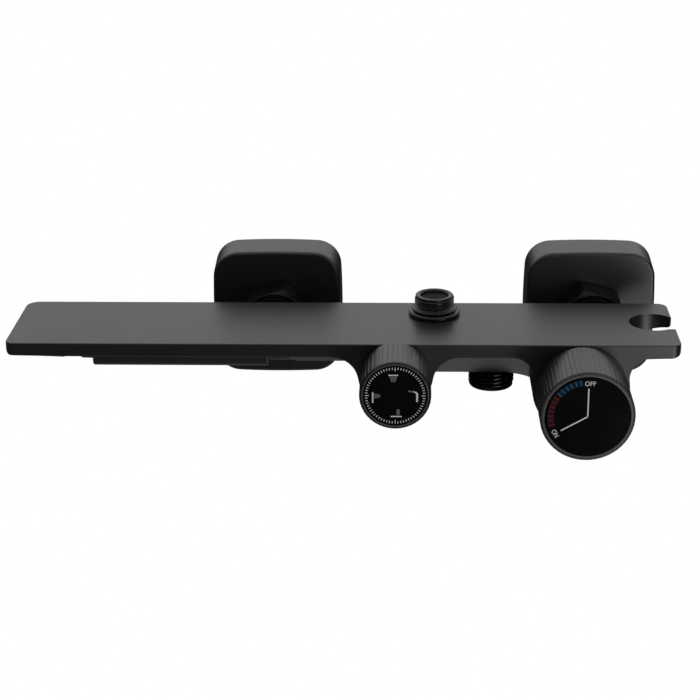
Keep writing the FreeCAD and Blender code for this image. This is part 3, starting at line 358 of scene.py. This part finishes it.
spray = bmesh.new()
for jet in (-1, 0, 1):
    poly(spray, [(-0.8 + jet * 1.15 - 0.45, 8.9), (-0.8 + jet * 1.15 + 0.45, 8.9),
                 (-0.8 + jet * 0.62 + 0.25, 6.3), (-0.8 + jet * 0.62 - 0.25, 6.3)])
for jet in (-1, 0, 1):
    poly(spray, [(-9.0, -0.15 + jet * 0.85 + 0.3), (-9.0, -0.15 + jet * 0.85 - 0.3),
                 (-6.4, -0.15 + jet * 0.42 - 0.18), (-6.4, -0.15 + jet * 0.42 + 0.18)])
stroke(spray, 1.3, -7.65, 1.25, 2.5, 0)
stroke(spray, 6.4, 2.05, 1.7, 0.7, -6)
print_on("diverter_dial_grey_print", spray, DIVERTER_DIAL, "diverter_knob", grey_ink, INK_THICKNESS)

LINE_WIDTH = 0.54
LINE_END = 12.9
ON_CLOCK = 120
ON_RADIUS = 15.6
on_angle = math.radians(ON_CLOCK)
lines = bmesh.new()
stroke(lines, 0, 6.4, LINE_WIDTH, LINE_END, 0)
radial(lines, ON_CLOCK, -0.2, LINE_END, LINE_WIDTH)
lettering(lines, "OFF", 2.1, 4.6, 0.6, 15.15, 0)
lettering(lines, "ON", 2.2, 3.5, -ON_RADIUS * math.sin(on_angle), ON_RADIUS * math.cos(on_angle),
          ON_CLOCK - 180)
print_on("mixing_dial_white_print", lines, MIXING_DIAL, "mixing_knob", white_ink, INK_THICKNESS)

SCALE_START = 12.2
SCALE_PITCH = 7.7
BAND_END = 0.35
scales = (("cold", 0, 5, blue_ink, deep_blue_ink), ("hot", 6, 12, red_ink, deep_red_ink))
for name, first, last, line_ink, band_ink in scales:
    band = bmesh.new()
    fan(band, SCALE_START + (first - BAND_END) * SCALE_PITCH, SCALE_START + (last + BAND_END) * SCALE_PITCH,
        14.4, 17.0)
    print_on("mixing_dial_" + name + "_band", band, MIXING_DIAL, "mixing_knob", band_ink, INK_THICKNESS / 2)
    marks = bmesh.new()
    for tick in range(first, last + 1):
        radial(marks, SCALE_START + tick * SCALE_PITCH, 14.5, 16.9, 0.5)
    print_on("mixing_dial_" + name + "_ticks", marks, MIXING_DIAL, "mixing_knob", line_ink, INK_THICKNESS)

# ---------------------------------------------------------------- waterfall spout
# A moulded bar screwed under the left wing with two stainless screws, over a soft gasket. The water leaves
# through a comb of ribs in its slot.

# Injection moulded ABS: satin black with the fine even grain of a spark-eroded mould.
abs_plastic = finish("moulded_black_abs", "121213", "18181A", 0.42, 0.03, 0.7, 0.004, {"IOR": 1.52})
dress(["spout_frame", "flow_straightener"], abs_plastic)

# Cold-headed stainless steel, tumbled: grey metal with soft reflections.
stainless = finish("tumbled_stainless_steel", "9A9A98", "B4B4B2", 0.32, 0.06, 0.5, 0.003, {"Metallic": 1.0})
dress(["spout_screws", "mixing_knob_grub_screw", "diverter_knob_grub_screw"], stainless)

# ---------------------------------------------------------------- inside pieces
# Seals, check valves and the two ceramic disc cartridges, hidden in the body when it is assembled.

# EPDM rubber: dull, almost black, with a dusty bloom.
rubber = finish("black_epdm_rubber", "161616", "222222", 0.75, 0.08, 1.2, 0.01, {"IOR": 1.5})
# Acetal: white moulded plastic with a waxy sheen.
acetal = finish("white_acetal", "DCDCD6", "E8E8E2", 0.38, 0.04, 1.0, 0.003, {"IOR": 1.48})
# Alumina, lapped flat: off-white ceramic with a smooth, slightly mottled face.
alumina = finish("lapped_alumina", "E2DED2", "EEEAE0", 0.16, 0.03, 0.8, 0.0005, {"IOR": 1.76})
for control in ("mixing", "diverter"):
    dress([control + "_base_seal"], rubber)
    dress([control + "_cartridge_base", control + "_cartridge_housing"], acetal)
    dress([control + "_fixed_disc", control + "_moving_disc"], alumina)
    dress([control + "_spindle", control + "_retaining_nut"], brass)
dress(["inlet_washers", "riser_seal", "spout_gasket"], rubber)
dress(["inlet_check_valves", "hose_check_valve"], acetal)

# ---------------------------------------------------------------- room and light
# A white studio, bright above and behind the shelf, dim in front of it and half bright straight below, with
# one low soft panel at the front right that fades along the lip. The pale floor lies 0.75 m down.

world = bpy.data.worlds.new("studio")
world.use_nodes = True
sky = world.node_tree
sky.nodes.clear()
way = add(sky, "ShaderNodeTexCoord")
split = add(sky, "ShaderNodeSeparateXYZ", {}, {"Vector": way.outputs["Generated"]})
tilt = add(sky, "ShaderNodeMath", {"operation": "MULTIPLY_ADD", 1: 0.313},
           {0: split.outputs["Y"], 2: split.outputs["Z"]})
above = add(sky, "ShaderNodeMapRange",
            {"interpolation_type": "SMOOTHSTEP", "From Min": 0.31, "From Max": 0.48,
             "To Min": 0.0, "To Max": 1.0},
            {"Value": tilt.outputs["Value"]})
front = add(sky, "ShaderNodeMapRange", {"From Min": -0.6, "From Max": 0.3, "To Min": 0.12, "To Max": 0.03},
            {"Value": split.outputs["Y"]})
below = add(sky, "ShaderNodeMapRange",
            {"interpolation_type": "SMOOTHSTEP", "From Min": -0.5, "From Max": -0.95,
             "To Min": 0.0, "To Max": 0.45},
            {"Value": split.outputs["Z"]})
dim = add(sky, "ShaderNodeMath", {"operation": "MAXIMUM"},
          {0: front.outputs["Result"], 1: below.outputs["Result"]})
level = add(sky, "ShaderNodeMath", {"operation": "MAXIMUM"},
            {0: dim.outputs["Value"], 1: above.outputs["Result"]})
lit = add(sky, "ShaderNodeBackground", {}, {"Color": level.outputs["Value"]})
seen = add(sky, "ShaderNodeBackground", {"Color": (1, 1, 1, 1)})
ray = add(sky, "ShaderNodeLightPath")
mix = add(sky, "ShaderNodeMixShader", {},
          {0: ray.outputs["Is Camera Ray"], 1: lit.outputs["Background"], 2: seen.outputs["Background"]})
add(sky, "ShaderNodeOutputWorld", {}, {"Surface": mix.outputs["Shader"]})
scene.world = world

lamp = bpy.data.lights.new("soft_panel_right", "AREA")
lamp.shape = "RECTANGLE"
lamp.size = 0.26
lamp.size_y = 0.32
lamp.energy = 1.0
panel = bpy.data.objects.new("soft_panel_right", lamp)
stand = Vector((0.275, -0.48, -0.08))
target = Vector((0.09, -0.09, -0.0))
turned = (target - stand).to_track_quat("-Z", "Y").to_matrix().to_4x4()
panel.matrix_world = Matrix.Translation(stand) @ turned
scene.collection.objects.link(panel)

FLOOR_HEIGHT = -0.75
floor_mesh = bpy.data.meshes.new("floor")
bm = bmesh.new()
bmesh.ops.create_grid(bm, x_segments=1, y_segments=1, size=4.0,
                      matrix=Matrix.Translation((0, 0, FLOOR_HEIGHT)))
bm.to_mesh(floor_mesh)
bm.free()
floor = bpy.data.objects.new("floor", floor_mesh)
scene.collection.objects.link(floor)
pale, tree = empty_material("pale_floor")
glow = add(tree, "ShaderNodeEmission", {"Color": (1, 1, 1, 1), "Strength": 1.0})
add(tree, "ShaderNodeOutputMaterial", {}, {"Surface": glow.outputs["Emission"]})
floor_mesh.materials.append(pale)
floor.visible_diffuse = False
floor.visible_glossy = False
floor.visible_transmission = False
floor.visible_shadow = False

scene.view_settings.view_transform = "Standard"
